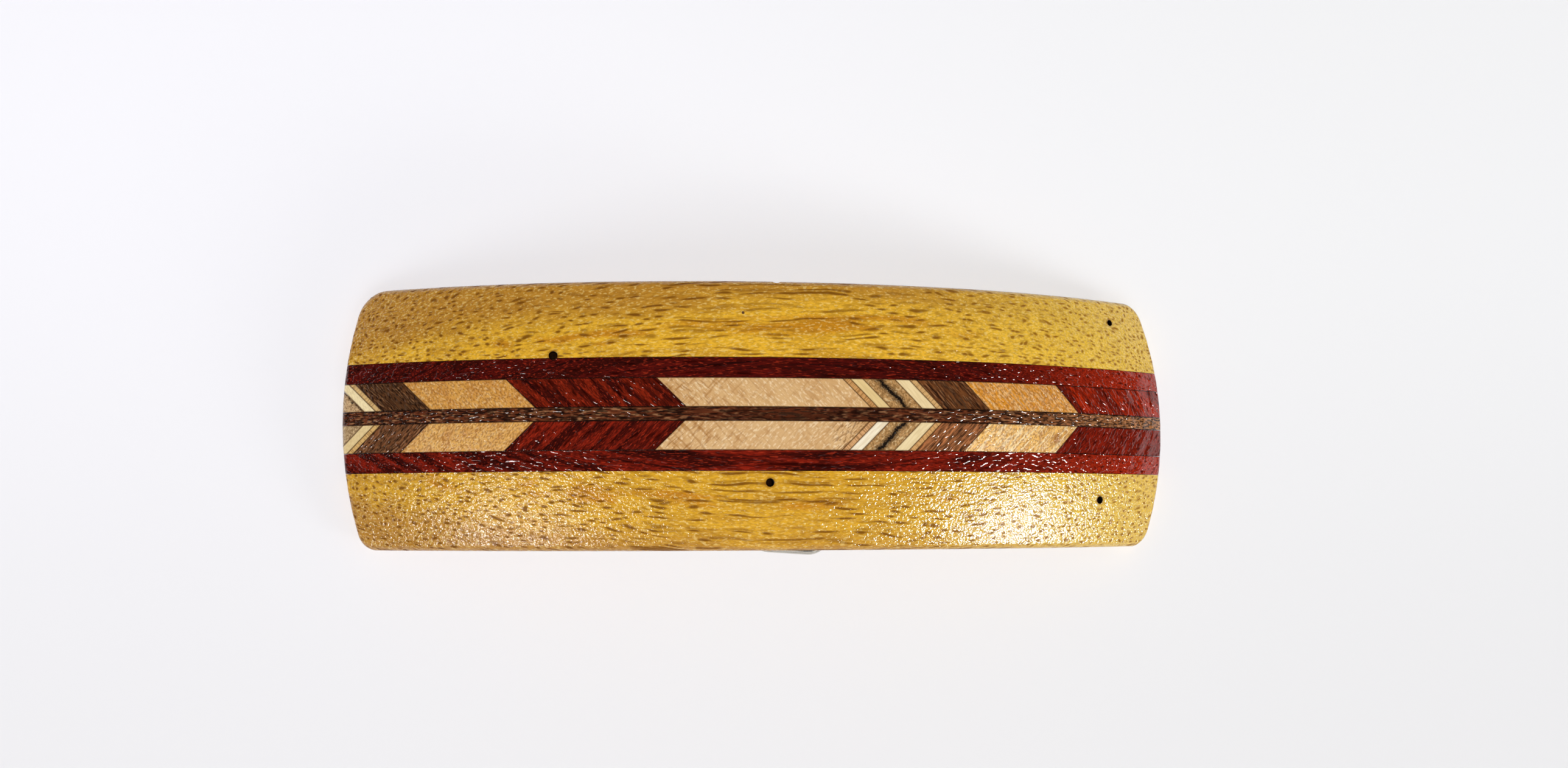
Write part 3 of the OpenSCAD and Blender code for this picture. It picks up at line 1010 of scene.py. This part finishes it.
def birch_ply(name, turn, centre, half, tone):
    """A thin ply of birch: tan, and ticked across its width every quarter millimetre."""
    material, tree, grain = new_material(name, turn, centre)
    ticks = streaks(tree, grain, 0.13, 2, detail=1, low=0.48, high=0.6)
    colour = tint(tree, ticks, linear(tone), linear("#7c4e24"), 0.55)
    colour = glued_round(tree, colour, grain, half, PALE_GLUE)
    varnish(tree, colour, [(ticks, -0.006)], PALE_GLOSS)
    return material


def spalted_maple(name, turn, centre, half, tone, zone_at, zone_w):
    """Spalted maple: grey-tan and mealy, a quarter of a millimetre a grain, with the black
    zone line that the fungus leaves, frayed and with a brown shade on both sides."""
    material, tree, grain = new_material(name, turn, centre)
    meal = streaks(tree, grain, 0.28, 0.2, low=0.4, high=0.62)
    colour = tint(tree, meal, linear(tone), linear("#6c4a26"), 0.65)
    light = streaks(tree, grain, 0.4, 0.25, detail=1, low=0.56, high=0.68)
    colour = tint(tree, light, colour, linear("#e4c896"), 0.65)
    # The line wanders by a fifth of a millimetre and frays by a tenth
    across = add(tree, "SeparateXYZ", {"Vector": grain}, out="Y")
    sway = streaks(tree, grain, 1.6, 3, detail=3)
    fray = streaks(tree, grain, 0.14, 0.14)
    for pattern, reach in ((sway, 0.7), (fray, 0.5)):
        off = add(tree, "Math", {0: pattern, 1: 0.5}, operation="SUBTRACT")
        across = add(tree, "Math", {0: off, 1: reach, 2: across}, operation="MULTIPLY_ADD")
    shade = line_at(tree, across, zone_at, zone_w, 2 * zone_w)
    colour = tint(tree, shade, colour, linear("#3c2a1c"), 0.75)
    zone = line_at(tree, across, zone_at, 0.8 * zone_w, 0.5 * zone_w)
    colour = tint(tree, zone, colour, linear("#0b0706"), 0.95)
    colour = glued_round(tree, colour, grain, half, PALE_GLUE)
    varnish(tree, colour, [(meal, -0.01)], PALE_GLOSS)
    return material


def wormhole_inside():
    """The inside of a wormhole: near black and matt, a fifth of a millimetre a grain."""
    material, tree, grain = new_material("dark_wormhole_inside")
    mottle = streaks(tree, grain, 0.2, 0.2, detail=3)
    colour = tint(tree, mottle, linear("#0c0705"), linear("#2a170c"))
    surface(tree, {"Base Color": colour, "Roughness": 0.95})
    return material


def nickel_steel():
    """Nickel-plated spring steel: stamped, then tumbled bright. It mirrors the room, and
    its scuffs, a tenth of a millimetre wide, blur that a little."""
    material, tree, place = new_material("bright_nickel_plate")
    scuffs = streaks(tree, place, 2.5, 0.12, detail=3, low=0.35, high=0.75)
    cloud = streaks(tree, place, 2, 2)
    roughness = add(tree, "MapRange", {
        0: scuffs, 3: NICKEL_BRIGHT, 4: NICKEL_SCUFFED,
    }, **SOFT_STEP)
    colour = tint(tree, cloud, linear("#bdb5a6"), linear("#d2cec6"))
    normal = add(tree, "Bump", {"Height": scuffs, "Strength": 0.2, "Distance": 0.004 * MM})
    surface(tree, {
        "Base Color": colour, "Metallic": 1, "Roughness": roughness, "Normal": normal,
    })
    return material


def white_table():
    """A matt white table top, painted cooler and lighter to the left of the barrette and
    darker in front of it: painted light and shade. Its paint has neither gloss nor a grain
    that shows from here."""
    material, tree, place = new_material("white_table")
    colour = linear("#fbfaff")
    # Painted shade: the white turns warmer and darker to the right, and darker in front
    for letter, (start, stop), tone, strength in (
        ("X", TABLE_SHADE_ALONG, "#f6f6f7", 1), ("Y", TABLE_SHADE_ACROSS, "#ebeaeb", 0.75),
    ):
        part = add(tree, "SeparateXYZ", {"Vector": place}, out=letter)
        amount = add(tree, "MapRange", {0: part, 1: start, 2: stop}, **SOFT_STEP)
        colour = tint(tree, amount, colour, linear(tone), strength)
    surface(tree, {"Base Color": colour, "Roughness": 0.9, "Specular IOR Level": 0})
    return material


# The wood of each slot that an arrow piece may have
ARROW_WOODS = {
    "padauk": padauk, "walnut": walnut, "cherry": cherry, "maple": maple, "holly": holly,
    "birch_ply": birch_ply, "spalted_maple": spalted_maple,
}


def arrow_finish(side_name, i):
    """The record's slot and the finish of an arrow piece."""
    arrow, slot, back_tone, front_tone = ARROWS[i]
    side = SIDES[side_name]
    from_x, to_x = arrow_span(side_name, i)
    if i == len(ARROWS) - 1:
        # The last piece was longer before its end was sanded
        to_x += band_edge
    centre = ((from_x + to_x) / 2, side * band_in, 0)
    half = (to_x - from_x) / 2 * math.cos(ARROW_SLANT) / MM
    tone = back_tone if side > 0 else front_tone
    node = arrow_node(side_name, i)
    own = OWN_LOOKS.get(node) or OWN_LOOKS.get(arrow, {})
    wood = ARROW_WOODS[slot]
    return slot, wood(slot + "_in_" + node, side * ARROW_SLANT, centre, half, tone, **own)


def dressed():
    """The record's slot and the finish of each piece."""
    finish = {"spine": ("walnut", walnut_spine("walnut_spine"))}
    for side_name, side in SIDES.items():
        gold, dull_from = RAIL_GOLD[side_name], DULL_FROM[side_name]
        rail = osage_orange("osage_orange_" + side_name, side, gold, dull_from)
        finish[side_name + "_rail"] = ("osage_orange", rail)
        red = padauk_strip("padauk_strip_" + side_name, side, STRIP_RED[side_name])
        finish[side_name + "_red_strip"] = ("padauk", red)
        for i in range(len(ARROWS)):
            finish[arrow_node(side_name, i)] = arrow_finish(side_name, i)
    finish["clip"] = ("nickel_steel", nickel_steel())
    return finish


# Lights and camera

def lamp(name, toward, distance, width, height, radiance, mirrored):
    """A soft panel lamp that faces the slab, and either is mirrored or lights the colours."""
    place = Vector(toward).normalized() * distance
    turn = place.to_track_quat("Z", "Y").to_euler()
    bpy.ops.object.light_add(type="AREA", location=place, rotation=turn)
    panel = bpy.context.object
    panel.name = panel.data.name = name
    panel.data.shape = "RECTANGLE"
    panel.data.size = width
    panel.data.size_y = height
    panel.data.energy = radiance * math.pi * width * height
    panel.visible_diffuse = not mirrored
    panel.visible_glossy = mirrored


def room_light():
    """Even light from the room: dim overhead, brighter towards the walls."""
    world = bpy.data.worlds.new("room")
    bpy.context.scene.world = world
    world.use_nodes = True
    tree = world.node_tree
    tree.nodes.clear()
    facing = add(tree, "TexCoord", out="Generated")
    height = add(tree, "SeparateXYZ", {"Vector": facing}, out="Z")
    start, stop = GLOW_CHANGES
    glow = add(tree, "MapRange", {
        0: height, 1: start, 2: stop, 3: HORIZON_GLOW, 4: ZENITH_GLOW,
    }, **SOFT_STEP)
    spread = add(tree, "LightPath", out="Is Diffuse Ray")
    strength = add(tree, "Mix", {0: spread, NUMBER_A: glow, NUMBER_B: ROOM_FILL})
    light = add(tree, "Background", {"Color": linear("#fbfbff"), "Strength": strength})
    add(tree, "OutputWorld", {"Surface": light})


def stand_camera():
    """The camera, where the photograph was taken from."""
    bpy.ops.object.camera_add(location=CAMERA_AT, rotation=CAMERA_TURN)
    camera = bpy.context.object
    camera.data.sensor_width = CAMERA_SENSOR
    camera.data.lens = CAMERA_LENS
    camera.data.clip_start = CAMERA_NEAR
    bpy.context.scene.camera = camera


# The barrette on its table

finish = dressed()
pieces = wooden_pieces(finish)
pieces["clip"] = steel_clip(finish["clip"][1])

for node, piece in pieces.items():
    smooth(piece)
    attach(piece, "root")
    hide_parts(node)

bpy.ops.object.select_all(action="DESELECT")
bpy.ops.mesh.primitive_plane_add(size=TABLE_SIZE)
table = placed("table")
table.data.materials.append(white_table())

for name, toward, distance, width, height, mirrored, on_colours in LAMPS:
    if mirrored:
        lamp(name + "_gloss", toward, distance, width, height, mirrored, True)
    if on_colours:
        lamp(name, toward, distance, width, height, on_colours, False)
room_light()
stand_camera()
bpy.context.scene.view_settings.view_transform = "Standard"
